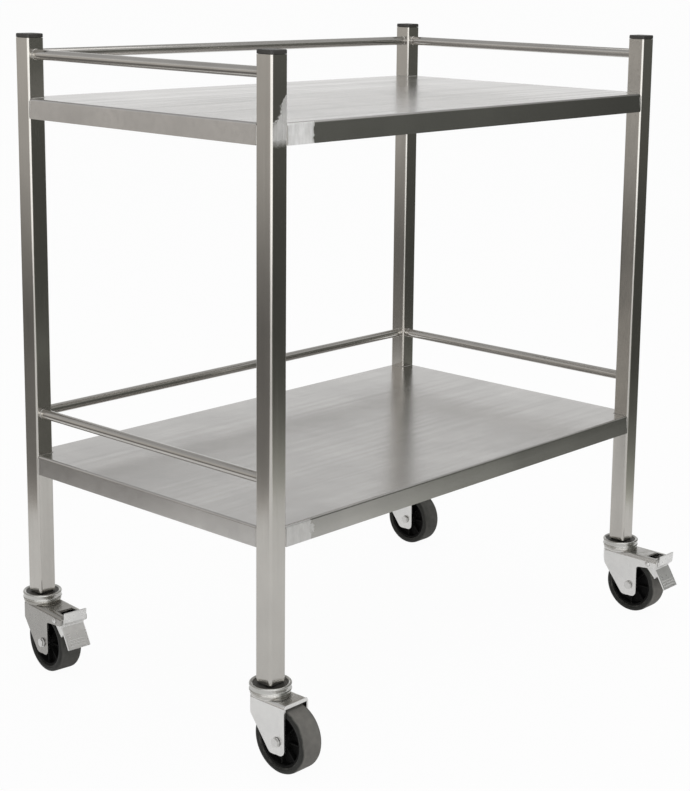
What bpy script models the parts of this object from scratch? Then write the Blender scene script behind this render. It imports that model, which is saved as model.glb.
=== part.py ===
"""Two-shelf instrument trolley: square tube posts, folded sheet shelves, round guard rails and
four swivel castors, two of them with a brake lever.

Metres, +Z up. The floor is z = 0. +X runs along the long side, the open front faces -Y, and the
castors trail towards -Y at rest. The origin is under the middle of the whole object as it stands.
"""
import math

import bmesh
import bpy
from mathutils import Matrix, Vector

# Overall sizes
OVERALL_HEIGHT = 0.825
FRAME_LENGTH = 0.735
FRAME_WIDTH = 0.455
UPPER_SHELF_DROP = 0.0795
LOWER_SHELF_TOP = 0.2865

# Clearances
SEAT_GAP = 0.0003
RUNNING_GAP = 0.0006

# Posts and their caps
TUBE_SIDE = 0.0254
TUBE_WALL = 0.0012
TUBE_CORNER = 0.003
CAP_HEAD = 0.0049
CAP_CHAMFER = 0.0008
CAP_PLUG_DEPTH = 0.018
CAP_PLUG_SIDE = 0.0192
CAP_PLUG_WALL = 0.002
CAP_FIN_COUNT = 2
CAP_FIN_THICKNESS = 0.0014
CAP_FIN_PITCH = 0.0064

# Shelves
SHEET = 0.0012
SHELF_EDGE_DEPTH = 0.025
SHELF_BEND = 0.0028
SHELF_INSET = 0.0016
STIFFENER_CROWN = 0.034
STIFFENER_DEPTH = 0.018
STIFFENER_FOOT = 0.014
STIFFENER_END_GAP = 0.004

# Guard rails
RAIL_DIAMETER = 0.0127
RAIL_WALL = 0.001
RAIL_HEIGHT = 0.054

# Castors
CASTOR_HEIGHT = 0.100
WHEEL_HEADROOM = 0.020
WHEEL_WIDTH = 0.032
TYRE_THICKNESS = 0.0075
TYRE_SHOULDER = 0.003
CORE_WEB = 0.010
CORE_RIM = 0.003
HUB_DIAMETER = 0.020
HUB_OVERHANG = 0.0004
TRAIL = 0.0295
AXLE_DIAMETER = 0.006
BUSH_WALL = 0.0014
BOLT_HEAD_FLATS = 0.010
BOLT_HEAD_HEIGHT = 0.003
NUT_HEIGHT = 0.0042
BOLT_END = 0.0012
FORK_SHEET = 0.0025
FORK_BEND = 0.0028
FORK_SIDE_GAP = 0.0012
CROWN_DIAMETER = 0.048
CROWN_TOP_DROP = 0.0089
CROWN_RISE = 0.0065
CROWN_LIP = 0.005
CUP_DIAMETER = 0.050
CUP_SHEET = 0.0022
STEM_DIAMETER = 0.010
STEM_LENGTH = 0.026
SOCKET_LENGTH = 0.032
KINGPIN_HEAD = 0.0026
BALL_DIAMETER = 0.0058
BALL_COUNT = 7
BALL_CIRCLE = 0.034
CAGE_THICKNESS = 0.0014
CAGE_WIDTH = 0.0034

# Fork legs, measured from the swivel axis (negative is the trailing side), and down from the
# castor's top or from its axle
LEG_FRONT = 0.0115
LEG_TAPER_DROP = 0.035
LEG_TOE = -0.0185
LEG_HEEL = -0.042
LEG_BELOW_AXLE = 0.0155
LEG_CORNER = 0.006

# Brake, measured along from the wheel's rearmost point (negative is behind it) and from the
# castor's top, its plate's bends as (along, up)
BRAKE_ANGLE = 10.0
BRAKE_PIVOT_AHEAD = 0.009
BRAKE_PIVOT_DROP = 0.0208
BRAKE_PIN_DIAMETER = 0.005
BRAKE_PIN_HEAD = 0.0015
BRAKE_EYE_RADIUS = 0.0046
BRAKE_SHEET = 0.0022
EAR_OVERHANG = 0.006
EAR_DROP = 0.029
EAR_RISE = 0.004
EAR_SLOT_AHEAD = 0.016
EAR_SLOT_WIDTH = 0.022
TAB_TOP = (-0.0100, -0.0070)
TAB_FOOT = (-0.0090, -0.0200)
KNEE = (-0.0015, -0.0270)
TREAD_TOP = (-0.0075, -0.0360)
TREAD_END = (-0.0185, -0.0545)
SHOE_ANGLE = 24.0
SHOE_GAP = 0.0007

# Facets
TYRE_STEPS = 24
ROUND_STEPS = 20
PIN_STEPS = 10
RAIL_STEPS = 20
CORNER_STEPS = 3

# Sizes that follow from those above
POST_BOTTOM = CASTOR_HEIGHT
UPPER_SHELF_TOP = OVERALL_HEIGHT - UPPER_SHELF_DROP
POST_TOP = OVERALL_HEIGHT - CAP_HEAD - SEAT_GAP
TUBE_INNER = TUBE_SIDE - 2 * TUBE_WALL
POST_X = (FRAME_LENGTH - TUBE_SIDE) / 2
POST_Y = (FRAME_WIDTH - TUBE_SIDE) / 2
WHEEL_DIAMETER = CASTOR_HEIGHT - WHEEL_HEADROOM
WHEEL_RADIUS = WHEEL_DIAMETER / 2
LEG_INNER = WHEEL_WIDTH / 2 + FORK_SIDE_GAP
LEG_OUTER = LEG_INNER + FORK_SHEET
CUP_TOP = CASTOR_HEIGHT - SEAT_GAP
CROWN_TOP = CASTOR_HEIGHT - CROWN_TOP_DROP
CROWN_BOTTOM = CROWN_TOP - CROWN_RISE
PLATE_TOP = CROWN_BOTTOM + FORK_SHEET
LEG_TAPER_TOP = CASTOR_HEIGHT - LEG_TAPER_DROP
LEG_BOTTOM = WHEEL_RADIUS - LEG_BELOW_AXLE
WHEEL_REAR = -TRAIL - WHEEL_RADIUS
EAR_BOTTOM = CASTOR_HEIGHT - EAR_DROP
EAR_END = WHEEL_REAR - EAR_OVERHANG
EAR_SLOT_START = WHEEL_REAR + EAR_SLOT_AHEAD
BRAKE_PIVOT_BACK = WHEEL_REAR + BRAKE_PIVOT_AHEAD
BRAKE_PIVOT_HEIGHT = CASTOR_HEIGHT - BRAKE_PIVOT_DROP

# How far each castor has swivelled, in degrees
AT_REST = {"front_left": 0.0, "front_right": 0.0, "back_left": -6.0, "back_right": 0.0}
CORNERS = {
    "front_left": (-1, -1),
    "front_right": (1, -1),
    "back_left": (-1, 1),
    "back_right": (1, 1),
}
BRAKED = ("front_right", "back_left")


def clear_scene():
    for obj in list(bpy.data.objects):
        bpy.data.objects.remove(obj, do_unlink=True)


def new_collection(name):
    collection = bpy.data.collections.new(name)
    bpy.context.scene.collection.children.link(collection)
    return collection


def material(name, colour, metallic, roughness):
    mat = bpy.data.materials.new(name)
    mat.use_nodes = True
    shader = mat.node_tree.nodes["Principled BSDF"]
    shader.inputs["Base Color"].default_value = (*colour, 1.0)
    shader.inputs["Metallic"].default_value = metallic
    shader.inputs["Roughness"].default_value = roughness
    return mat


def holder(mesh, name="work"):
    """An object that carries a mesh while it is being worked on."""
    obj = bpy.data.objects.new(name, mesh)
    bpy.context.scene.collection.objects.link(obj)
    return obj


def settle(obj):
    """Turn the object's modifiers into plain mesh."""
    bpy.context.view_layer.update()
    graph = bpy.context.evaluated_depsgraph_get()
    mesh = bpy.data.meshes.new_from_object(obj.evaluated_get(graph))
    obj.modifiers.clear()
    obj.data = mesh
    return obj


def combine(base, tools, operation):
    """Cut the tools from the base, or join them to it."""
    for tool in tools:
        modifier = base.modifiers.new(operation.title(), "BOOLEAN")
        modifier.operation = operation
        modifier.solver = "EXACT"
        modifier.object = tool
    settle(base)
    for tool in tools:
        bpy.data.objects.remove(tool, do_unlink=True)
    return base


def from_bmesh(bm):
    mesh = bpy.data.meshes.new("work")
    bm.to_mesh(mesh)
    bm.free()
    return holder(mesh)


def block(low, high, corner=0.0, axis=2, steps=CORNER_STEPS):
    """A box between two corners, with the edges along one axis rounded."""
    bm = bmesh.new()
    bmesh.ops.create_cube(bm, size=1.0)
    low, high = Vector(low), Vector(high)
    size = high - low
    for vert in bm.verts:
        vert.co = Vector(c * s for c, s in zip(vert.co, size)) + (low + high) / 2
    if corner > 0:
        along = [e for e in bm.edges if abs((e.verts[0].co - e.verts[1].co)[axis]) > size[axis] / 2]
        bmesh.ops.bevel(bm, geom=along, offset=corner, segments=steps, profile=0.5, affect="EDGES")
    return from_bmesh(bm)


def square_bar(side, bottom, top, corner, steps=CORNER_STEPS):
    return block((-side / 2, -side / 2, bottom), (side / 2, side / 2, top), corner, steps=steps)


def rod(radius, start, end, steps):
    """A round bar between two points."""
    start, end = Vector(start), Vector(end)
    direction = end - start
    bm = bmesh.new()
    turn = direction.to_track_quat("Z", "Y").to_matrix().to_4x4()
    half_step = Matrix.Rotation(math.pi / steps, 4, "Z")
    bmesh.ops.create_cone(
        bm, cap_ends=True, segments=steps, radius1=radius, radius2=radius,
        depth=direction.length, matrix=Matrix.Translation((start + end) / 2) @ turn @ half_step)
    return from_bmesh(bm)


def turned(profile, steps, closed=True):
    """A profile of (radius, height) points turned about Z. Its outer side runs down.

    A closed profile is a ring; an open one starts and ends on the axis."""
    bm = bmesh.new()
    verts = [bm.verts.new((radius, 0, height)) for radius, height in profile]
    for first, second in zip(verts, verts[1:]):
        bm.edges.new((first, second))
    if closed:
        bm.edges.new((verts[-1], verts[0]))
    obj = from_bmesh(bm)
    screw = obj.modifiers.new("Turn", "SCREW")
    screw.axis = "Z"
    screw.steps = steps
    screw.render_steps = steps
    screw.use_merge_vertices = True
    screw.merge_threshold = 0.00001
    return settle(obj)


def lay_along_x(obj):
    """Turn a piece that stands along Z so that it lies along X, half a facet round."""
    obj.data.transform(Matrix.Rotation(math.pi / 2, 4, "Y"))
    return obj


def rounded(corners, steps=CORNER_STEPS):
    """An outline whose corners are (u, v, radius), with the corners drawn as arcs."""
    points = []
    count = len(corners)
    for index, (u, v, radius) in enumerate(corners):
        here = Vector((u, v))
        if radius == 0:
            points.append(here)
            continue
        before = (Vector(corners[index - 1][:2]) - here).normalized()
        after = (Vector(corners[(index + 1) % count][:2]) - here).normalized()
        half = before.angle(after) / 2
        centre = here + (before + after).normalized() * radius / math.sin(half)
        start = here + before * radius / math.tan(half) - centre
        sweep = math.pi - 2 * half
        side = 1 if before.x * after.y - before.y * after.x < 0 else -1
        for step in range(steps + 1):
            angle = side * sweep * step / steps
            points.append(centre + Vector((
                start.x * math.cos(angle) - start.y * math.sin(angle),
                start.x * math.sin(angle) + start.y * math.cos(angle))))
    return points


def plate(points, low, high, upright):
    """A flat outline made solid from low to high. An upright one stands in the YZ plane."""
    curve = bpy.data.curves.new("work", "CURVE")
    curve.dimensions = "2D"
    curve.fill_mode = "BOTH"
    curve.extrude = (high - low) / 2
    spline = curve.splines.new("POLY")
    spline.points.add(len(points) - 1)
    for point, (u, v) in zip(spline.points, points):
        point.co = (u, v, 0, 1)
    spline.use_cyclic_u = True
    curve_object = holder(curve)
    graph = bpy.context.evaluated_depsgraph_get()
    mesh = bpy.data.meshes.new_from_object(curve_object.evaluated_get(graph))
    bpy.data.objects.remove(curve_object, do_unlink=True)
    bm = bmesh.new()
    bm.from_mesh(mesh)
    bmesh.ops.remove_doubles(bm, verts=bm.verts, dist=0.00001)
    bmesh.ops.translate(bm, verts=bm.verts, vec=(0, 0, (low + high) / 2))
    if upright:
        cycle = Matrix(((0, 0, 1, 0), (1, 0, 0, 0), (0, 1, 0, 0), (0, 0, 0, 1)))
        bmesh.ops.transform(bm, matrix=cycle, verts=bm.verts)
    bmesh.ops.recalc_face_normals(bm, faces=bm.faces)
    bm.to_mesh(mesh)
    bm.free()
    return holder(mesh)


def bent_strip(path, half_width, thickness, bend=0.0, steps=2):
    """A strip of sheet folded along a path of (y, z) points, as wide as twice half_width along X."""
    bm = bmesh.new()
    rows = [[bm.verts.new((x, y, z)) for x in (-half_width, half_width)] for y, z in path]
    for first, second in zip(rows, rows[1:]):
        bm.faces.new((first[0], first[1], second[1], second[0]))
    folds = [bm.edges.get(row) for row in rows[1:-1]]
    if bend > 0:
        bmesh.ops.bevel(bm, geom=folds, offset=bend, segments=steps, profile=0.5, affect="EDGES")
    obj = from_bmesh(bm)
    return thicken(obj, thickness, 0.0)


def thicken(obj, thickness, offset):
    solidify = obj.modifiers.new("Sheet", "SOLIDIFY")
    solidify.thickness = thickness
    solidify.offset = offset
    solidify.use_even_offset = True
    settle(obj)
    bm = bmesh.new()
    bm.from_mesh(obj.data)
    bmesh.ops.recalc_face_normals(bm, faces=bm.faces)
    bm.to_mesh(obj.data)
    bm.free()
    return obj


def finished(obj):
    """Take the mesh off its working object, smooth on its round faces."""
    mesh = obj.data
    bpy.data.objects.remove(obj, do_unlink=True)
    mesh.shade_smooth()
    mesh.set_sharp_from_angle(angle=math.radians(35))
    return mesh


def place(name, mesh, mat, collection, parent, location=(0, 0, 0)):
    """One named piece of the trolley, at its place under its parent."""
    mesh.name = name
    if not mesh.materials:
        mesh.materials.append(mat)
    obj = bpy.data.objects.new(name, mesh)
    collection.objects.link(obj)
    obj.parent = parent
    obj.location = location
    return obj


def empty(name, collection, parent, location, turn=0.0):
    """A parent for the pieces that turn together, on their joint's axis."""
    obj = bpy.data.objects.new(name, None)
    collection.objects.link(obj)
    obj.empty_display_size = 0.02
    obj.parent = parent
    obj.location = location
    obj.rotation_euler.z = math.radians(turn)
    return obj


def post_mesh():
    outer = square_bar(TUBE_SIDE, POST_BOTTOM, POST_TOP, TUBE_CORNER)
    bore = square_bar(TUBE_INNER, POST_BOTTOM - TUBE_SIDE, POST_TOP + TUBE_SIDE,
                      TUBE_CORNER - TUBE_WALL)
    return finished(combine(outer, [bore], "DIFFERENCE"))


def cap_mesh():
    """A square head, and a hollow plug with gripping fins that sits in the tube."""
    head_bottom = POST_TOP + SEAT_GAP
    head = square_bar(TUBE_SIDE, head_bottom, OVERALL_HEIGHT, TUBE_CORNER)
    bevel = head.modifiers.new("Edge", "BEVEL")
    bevel.width = CAP_CHAMFER
    bevel.segments = 1
    bevel.limit_method = "ANGLE"
    bevel.angle_limit = math.radians(60)
    settle(head)
    plug_bottom = head_bottom - CAP_PLUG_DEPTH
    overlap = CAP_HEAD / 2
    plug = square_bar(CAP_PLUG_SIDE, plug_bottom, head_bottom + overlap, 0)
    fins = []
    for index in range(CAP_FIN_COUNT):
        middle = head_bottom - CAP_FIN_PITCH * (index + 0.6)
        fins.append(square_bar(TUBE_INNER - 2 * SEAT_GAP, middle - CAP_FIN_THICKNESS / 2,
                               middle + CAP_FIN_THICKNESS / 2, TUBE_CORNER - TUBE_WALL, steps=1))
    hollow = square_bar(CAP_PLUG_SIDE - 2 * CAP_PLUG_WALL, plug_bottom - overlap,
                        head_bottom - CAP_FIN_PITCH / 4, 0)
    combine(head, [plug] + fins, "UNION")
    return finished(combine(head, [hollow], "DIFFERENCE"))


def shelf_mesh(top):
    """A flat sheet notched round the posts, with its four edges folded down."""
    half_x = FRAME_LENGTH / 2 - SHELF_INSET
    half_y = FRAME_WIDTH / 2 - SHELF_INSET
    notch_x = FRAME_LENGTH / 2 - TUBE_SIDE - SEAT_GAP
    notch_y = FRAME_WIDTH / 2 - TUBE_SIDE - SEAT_GAP
    xs = (-half_x, -notch_x, notch_x, half_x)
    ys = (-half_y, -notch_y, notch_y, half_y)
    bm = bmesh.new()
    grid = {}
    for i, x in enumerate(xs):
        for j, y in enumerate(ys):
            if i in (1, 2) or j in (1, 2):
                grid[i, j] = bm.verts.new((x, y, top))
    for i in range(3):
        for j in range(3):
            if i == 1 or j == 1:
                bm.faces.new([grid[i, j], grid[i + 1, j], grid[i + 1, j + 1], grid[i, j + 1]])
    ends = (((0, 1), (0, 2)), ((3, 1), (3, 2)), ((1, 0), (2, 0)), ((1, 3), (2, 3)))
    folds = [bm.edges.get((grid[a], grid[b])) for a, b in ends]
    drop = bmesh.ops.extrude_edge_only(bm, edges=folds)
    lower = [item for item in drop["geom"] if isinstance(item, bmesh.types.BMVert)]
    bmesh.ops.translate(bm, verts=lower, vec=(0, 0, -SHELF_EDGE_DEPTH))
    bmesh.ops.bevel(bm, geom=folds, offset=SHELF_BEND, segments=4, profile=0.5, affect="EDGES")
    bmesh.ops.recalc_face_normals(bm, faces=bm.faces)
    if max(bm.faces, key=lambda face: face.calc_area()).normal.z < 0:
        bmesh.ops.reverse_faces(bm, faces=bm.faces)
    return finished(thicken(from_bmesh(bm), SHEET, -1.0))


def stiffener_mesh(top):
    """A hat section under the shelf, from one end's folded edge to the other."""
    under = top - SHEET - SEAT_GAP - SHEET / 2
    crown = STIFFENER_CROWN / 2
    path = (
        (-crown - STIFFENER_FOOT, under),
        (-crown, under),
        (-crown, under - STIFFENER_DEPTH),
        (crown, under - STIFFENER_DEPTH),
        (crown, under),
        (crown + STIFFENER_FOOT, under),
    )
    half_length = FRAME_LENGTH / 2 - SHELF_INSET - SHELF_BEND - STIFFENER_END_GAP
    return finished(bent_strip(path, half_length, SHEET))


def rail_mesh(start, end):
    """A round tube between two posts, butted against them."""
    beyond = (Vector(end) - Vector(start)).normalized() * RAIL_DIAMETER
    bore = rod(RAIL_DIAMETER / 2 - RAIL_WALL, Vector(start) - beyond, Vector(end) + beyond,
               RAIL_STEPS)
    return finished(combine(rod(RAIL_DIAMETER / 2, start, end, RAIL_STEPS), [bore], "DIFFERENCE"))


def socket_mesh():
    """The square plug in the post's foot that holds the castor's stem."""
    plug = square_bar(TUBE_INNER - 2 * SEAT_GAP, POST_BOTTOM, POST_BOTTOM + SOCKET_LENGTH,
                      TUBE_CORNER - TUBE_WALL)
    bore = rod(STEM_DIAMETER / 2 + SEAT_GAP, (0, 0, POST_BOTTOM - STEM_LENGTH),
               (0, 0, CUP_TOP + STEM_LENGTH + SEAT_GAP), PIN_STEPS)
    return finished(combine(plug, [bore], "DIFFERENCE"))


def race_cup_mesh():
    """Stem, upper race cup and kingpin: one turned piece, riveted under the fork's crown."""
    stem = STEM_DIAMETER / 2
    rim = CUP_DIAMETER / 2
    under = CUP_TOP - CUP_SHEET
    skirt_bottom = CROWN_TOP + SEAT_GAP
    rivet_top = CROWN_BOTTOM - SEAT_GAP
    profile = (
        (0, CUP_TOP + STEM_LENGTH),
        (stem, CUP_TOP + STEM_LENGTH),
        (stem, CUP_TOP),
        (rim - CUP_SHEET, CUP_TOP),
        (rim, CUP_TOP - CUP_SHEET / 2),
        (rim, skirt_bottom),
        (rim - CUP_SHEET / 2, skirt_bottom),
        (rim - CUP_SHEET / 2 - RUNNING_GAP, under),
        (stem, under),
        (stem, rivet_top),
        (stem + KINGPIN_HEAD, rivet_top),
        (stem + KINGPIN_HEAD / 2, rivet_top - KINGPIN_HEAD),
        (0, rivet_top - KINGPIN_HEAD),
    )
    return finished(turned(profile, ROUND_STEPS, closed=False))


def ball_ring_mesh():
    """Balls in their cage, between the upper race cup and the fork's crown."""
    height = (CROWN_TOP + CUP_TOP - CUP_SHEET) / 2
    inner = (BALL_CIRCLE - CAGE_WIDTH) / 2
    outer = (BALL_CIRCLE + CAGE_WIDTH) / 2
    half = CAGE_THICKNESS / 2
    cage = turned(((inner, height + half), (outer, height + half),
                   (outer, height - half), (inner, height - half)), 2 * BALL_COUNT)
    balls = []
    for index in range(BALL_COUNT):
        angle = 2 * math.pi * index / BALL_COUNT
        spot = Vector((math.cos(angle), math.sin(angle), 0)) * BALL_CIRCLE / 2
        bm = bmesh.new()
        bmesh.ops.create_uvsphere(bm, u_segments=6, v_segments=4, radius=BALL_DIAMETER / 2,
                                  matrix=Matrix.Translation(spot + Vector((0, 0, height))))
        balls.append(from_bmesh(bm))
    return finished(combine(cage, balls, "UNION"))


def fork_mesh(braked):
    """A pressed fork: one folded sheet trimmed to its side outline, and the lower race on it."""
    side = LEG_INNER + FORK_SHEET / 2
    folded = PLATE_TOP - FORK_SHEET / 2
    low = LEG_BOTTOM - FORK_SHEET
    rear = (EAR_END if braked else LEG_HEEL) - FORK_SHEET
    front = LEG_FRONT + FORK_SHEET
    sheet = bent_strip(((-side, low), (-side, folded), (side, folded), (side, low)),
                       (front - rear) / 2, FORK_SHEET, bend=FORK_BEND)
    sheet.data.transform(Matrix.Translation((0, (front + rear) / 2, 0))
                         @ Matrix.Rotation(-math.pi / 2, 4, "Z"))
    above = PLATE_TOP + SEAT_GAP
    outline = [
        (LEG_FRONT, above, 0),
        (LEG_FRONT, LEG_TAPER_TOP, LEG_CORNER),
        (LEG_TOE, LEG_BOTTOM, LEG_CORNER),
        (LEG_HEEL, LEG_BOTTOM, LEG_CORNER),
    ]
    if braked:
        outline += [
            (LEG_HEEL, EAR_BOTTOM, LEG_CORNER / 2),
            (EAR_END, EAR_BOTTOM + EAR_RISE, LEG_CORNER / 2),
            (EAR_END, above, LEG_CORNER),
        ]
    else:
        outline += [(LEG_HEEL, above, 0)]
    combine(sheet, [plate(rounded(outline), -2 * LEG_OUTER, 2 * LEG_OUTER, upright=True)],
            "INTERSECT")
    crown = CROWN_DIAMETER / 2
    kingpin = STEM_DIAMETER / 2 + SEAT_GAP
    groove = BALL_DIAMETER / 4
    middle = BALL_CIRCLE / 2
    race = turned((
        (kingpin + groove, CROWN_TOP - groove),
        (middle - 2 * groove, CROWN_TOP - groove),
        (middle - groove, CROWN_TOP - SEAT_GAP),
        (crown - groove, CROWN_TOP),
        (crown, CROWN_TOP - groove / 2),
        (crown, CROWN_BOTTOM + FORK_SHEET / 2),
        (kingpin + groove, CROWN_BOTTOM + FORK_SHEET / 2),
    ), ROUND_STEPS)
    parts = [race]
    if not braked:
        parts.append(block((-side, LEG_HEEL + SEAT_GAP, PLATE_TOP - CROWN_LIP),
                           (side, LEG_HEEL + FORK_SHEET, folded)))
    combine(sheet, parts, "UNION")
    wide = 2 * LEG_OUTER
    holes = [
        rod(kingpin, (0, 0, CROWN_BOTTOM - wide), (0, 0, CROWN_TOP + wide), PIN_STEPS),
        rod(AXLE_DIAMETER / 2 + SEAT_GAP, (-wide, -TRAIL, WHEEL_RADIUS),
            (wide, -TRAIL, WHEEL_RADIUS), PIN_STEPS),
    ]
    if braked:
        holes.append(rod(BRAKE_PIN_DIAMETER / 2 + SEAT_GAP,
                         (-wide, BRAKE_PIVOT_BACK, BRAKE_PIVOT_HEIGHT),
                         (wide, BRAKE_PIVOT_BACK, BRAKE_PIVOT_HEIGHT), PIN_STEPS))
        holes.append(block((-EAR_SLOT_WIDTH / 2, EAR_END - FORK_SHEET, CROWN_BOTTOM - FORK_SHEET),
                           (EAR_SLOT_WIDTH / 2, EAR_SLOT_START, CROWN_TOP)))
    return finished(combine(sheet, holes, "DIFFERENCE"))


def tyre_mesh():
    """The tyre, about the axle. The flats of its facets lie at the true radius."""
    flats = 1 / math.cos(math.pi / TYRE_STEPS)
    outer = WHEEL_RADIUS * flats
    inner = (WHEEL_RADIUS - TYRE_THICKNESS) * flats
    half = WHEEL_WIDTH / 2
    side = half - TYRE_SHOULDER / 2
    ring = turned((
        (inner, side),
        (outer - TYRE_SHOULDER, half),
        (outer, half - TYRE_SHOULDER),
        (outer, TYRE_SHOULDER - half),
        (outer - TYRE_SHOULDER, -half),
        (inner, -side),
    ), TYRE_STEPS)
    ring.data.transform(Matrix.Rotation(math.pi / TYRE_STEPS, 4, "Z"))
    return finished(lay_along_x(ring))


def wheel_core_mesh():
    """Hub, web and rim of the wheel, about the axle."""
    bore = AXLE_DIAMETER / 2 + SEAT_GAP + BUSH_WALL + SEAT_GAP
    hub = HUB_DIAMETER / 2
    outer = WHEEL_RADIUS - TYRE_THICKNESS - SEAT_GAP
    rim = outer - CORE_RIM
    half = WHEEL_WIDTH / 2 - TYRE_SHOULDER
    boss = WHEEL_WIDTH / 2 + HUB_OVERHANG
    web = CORE_WEB / 2
    core = turned((
        (bore, boss), (hub, boss), (hub + CORE_RIM / 2, web), (rim - CORE_RIM / 2, web),
        (rim, half), (outer, half),
        (outer, -half), (rim, -half),
        (rim - CORE_RIM / 2, -web), (hub + CORE_RIM / 2, -web), (hub, -boss), (bore, -boss),
    ), TYRE_STEPS)
    core.data.transform(Matrix.Rotation(math.pi / TYRE_STEPS, 4, "Z"))
    return finished(lay_along_x(core))


def bush_mesh():
    """The spacer tube that the wheel turns on, about the axle."""
    inner = AXLE_DIAMETER / 2 + SEAT_GAP
    outer = inner + BUSH_WALL
    half = LEG_INNER - SEAT_GAP
    return finished(lay_along_x(turned(
        ((inner, half), (outer, half), (outer, -half), (inner, -half)), PIN_STEPS)))


def axle_bolt_mesh():
    """Hexagon head outside the left leg, shank through both legs, about the axle."""
    seat = -LEG_OUTER - SEAT_GAP
    head = rod(BOLT_HEAD_FLATS / math.sqrt(3), (seat - BOLT_HEAD_HEIGHT, 0, 0), (seat, 0, 0), 6)
    shank_end = LEG_OUTER + SEAT_GAP + NUT_HEIGHT + BOLT_END
    shank = rod(AXLE_DIAMETER / 2, (seat - BOLT_HEAD_HEIGHT / 2, 0, 0), (shank_end, 0, 0), PIN_STEPS)
    return finished(combine(head, [shank], "UNION"))


def axle_nut_mesh():
    seat = LEG_OUTER + SEAT_GAP
    nut = rod(BOLT_HEAD_FLATS / math.sqrt(3), (seat, 0, 0), (seat + NUT_HEIGHT, 0, 0), 6)
    bore = rod(AXLE_DIAMETER / 2 + SEAT_GAP, (0, 0, 0), (seat + 2 * NUT_HEIGHT, 0, 0), PIN_STEPS)
    return finished(combine(nut, [bore], "DIFFERENCE"))


def brake_pin_mesh():
    """The rivet that the brake lever turns on, about the lever's pivot."""
    radius = BRAKE_PIN_DIAMETER / 2
    inside = LEG_OUTER + SEAT_GAP
    outside = inside + BRAKE_PIN_HEAD
    head = radius + BRAKE_PIN_HEAD
    return finished(lay_along_x(turned((
        (0, outside), (radius, outside), (head, inside), (radius, inside),
        (radius, -inside), (head, -inside), (radius, -outside), (0, -outside),
    ), PIN_STEPS, closed=False)))


def shoe_path():
    """The brake shoe's plate at rest, about the pivot.

    It is worked back from where it lies when pressed, flat along the tread and up to the eye."""
    pivot = Vector((BRAKE_PIVOT_BACK, BRAKE_PIVOT_HEIGHT))
    axle = Vector((-TRAIL, WHEEL_RADIUS))
    tread = WHEEL_RADIUS / math.cos(math.pi / TYRE_STEPS)
    angle = math.radians(SHOE_ANGLE)
    outward = Vector((-math.cos(angle), math.sin(angle)))
    along = Vector((math.sin(angle), math.cos(angle)))
    pressed = axle + outward * (tread + SHOE_GAP + BRAKE_SHEET / 2)
    back = math.radians(-BRAKE_ANGLE)
    path = []
    for distance in (0, (pivot - pressed).dot(along)):
        point = pressed + along * distance - pivot
        path.append((point.x * math.cos(back) - point.y * math.sin(back),
                     point.x * math.sin(back) + point.y * math.cos(back)))
    return path


def brake_lever_mesh():
    """A pressed lever about its pivot: two cheeks, with the tab, the foot tread and the shoe."""
    half = LEG_INNER - RUNNING_GAP
    inset = half - SEAT_GAP
    shoe = shoe_path()
    path = [(WHEEL_REAR + along - BRAKE_PIVOT_BACK, CASTOR_HEIGHT + up - BRAKE_PIVOT_HEIGHT)
            for along, up in (TAB_TOP, TAB_FOOT, KNEE, TREAD_TOP, TREAD_END)]
    eye = BRAKE_EYE_RADIUS
    cheek = rounded([
        (eye, eye, eye * 0.9),
        (path[1][0], eye, 0),
        (path[1][0], path[1][1], 0),
        (path[2][0], path[2][1], 0),
        (path[3][0], path[3][1], 0),
        (shoe[0][0], shoe[0][1], 0),
        (eye, -eye, eye * 0.9),
    ])
    lever = plate(cheek, half - BRAKE_SHEET, half, upright=True)
    other = plate(cheek, -half, BRAKE_SHEET - half, upright=True)
    body = bent_strip(path, inset, BRAKE_SHEET, bend=BRAKE_SHEET)
    combine(lever, [body, bent_strip(shoe, inset, BRAKE_SHEET), other], "UNION")
    bore = rod(BRAKE_PIN_DIAMETER / 2 + SEAT_GAP, (-2 * half, 0, 0), (2 * half, 0, 0), PIN_STEPS)
    return finished(combine(lever, [bore], "DIFFERENCE"))


def build_frame(collection, frame, mats):
    """Posts, caps, sockets, shelves, stiffeners and rails."""
    post, cap, socket = post_mesh(), cap_mesh(), socket_mesh()
    for corner, (side_x, side_y) in CORNERS.items():
        spot = (side_x * POST_X, side_y * POST_Y, 0)
        place("post_" + corner, post, mats["steel"], collection, frame, spot)
        place("cap_" + corner, cap, mats["cap"], collection, frame, spot)
        place("socket_" + corner, socket, mats["cap"], collection, frame, spot)
    for level, top in (("upper", UPPER_SHELF_TOP), ("lower", LOWER_SHELF_TOP)):
        place(level + "_shelf", shelf_mesh(top), mats["steel"], collection, frame)
        place(level + "_stiffener", stiffener_mesh(top), mats["steel"], collection, frame)
        height = top + RAIL_HEIGHT
        reach_x = POST_X - TUBE_SIDE / 2 - SEAT_GAP
        reach_y = POST_Y - TUBE_SIDE / 2 - SEAT_GAP
        runs = {
            "left": ((-POST_X, -reach_y, height), (-POST_X, reach_y, height)),
            "right": ((POST_X, -reach_y, height), (POST_X, reach_y, height)),
            "back": ((-reach_x, POST_Y, height), (reach_x, POST_Y, height)),
        }
        for side, (start, end) in runs.items():
            rail = rail_mesh(start, end)
            place(level + "_rail_" + side, rail, mats["steel"], collection, frame)


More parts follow.
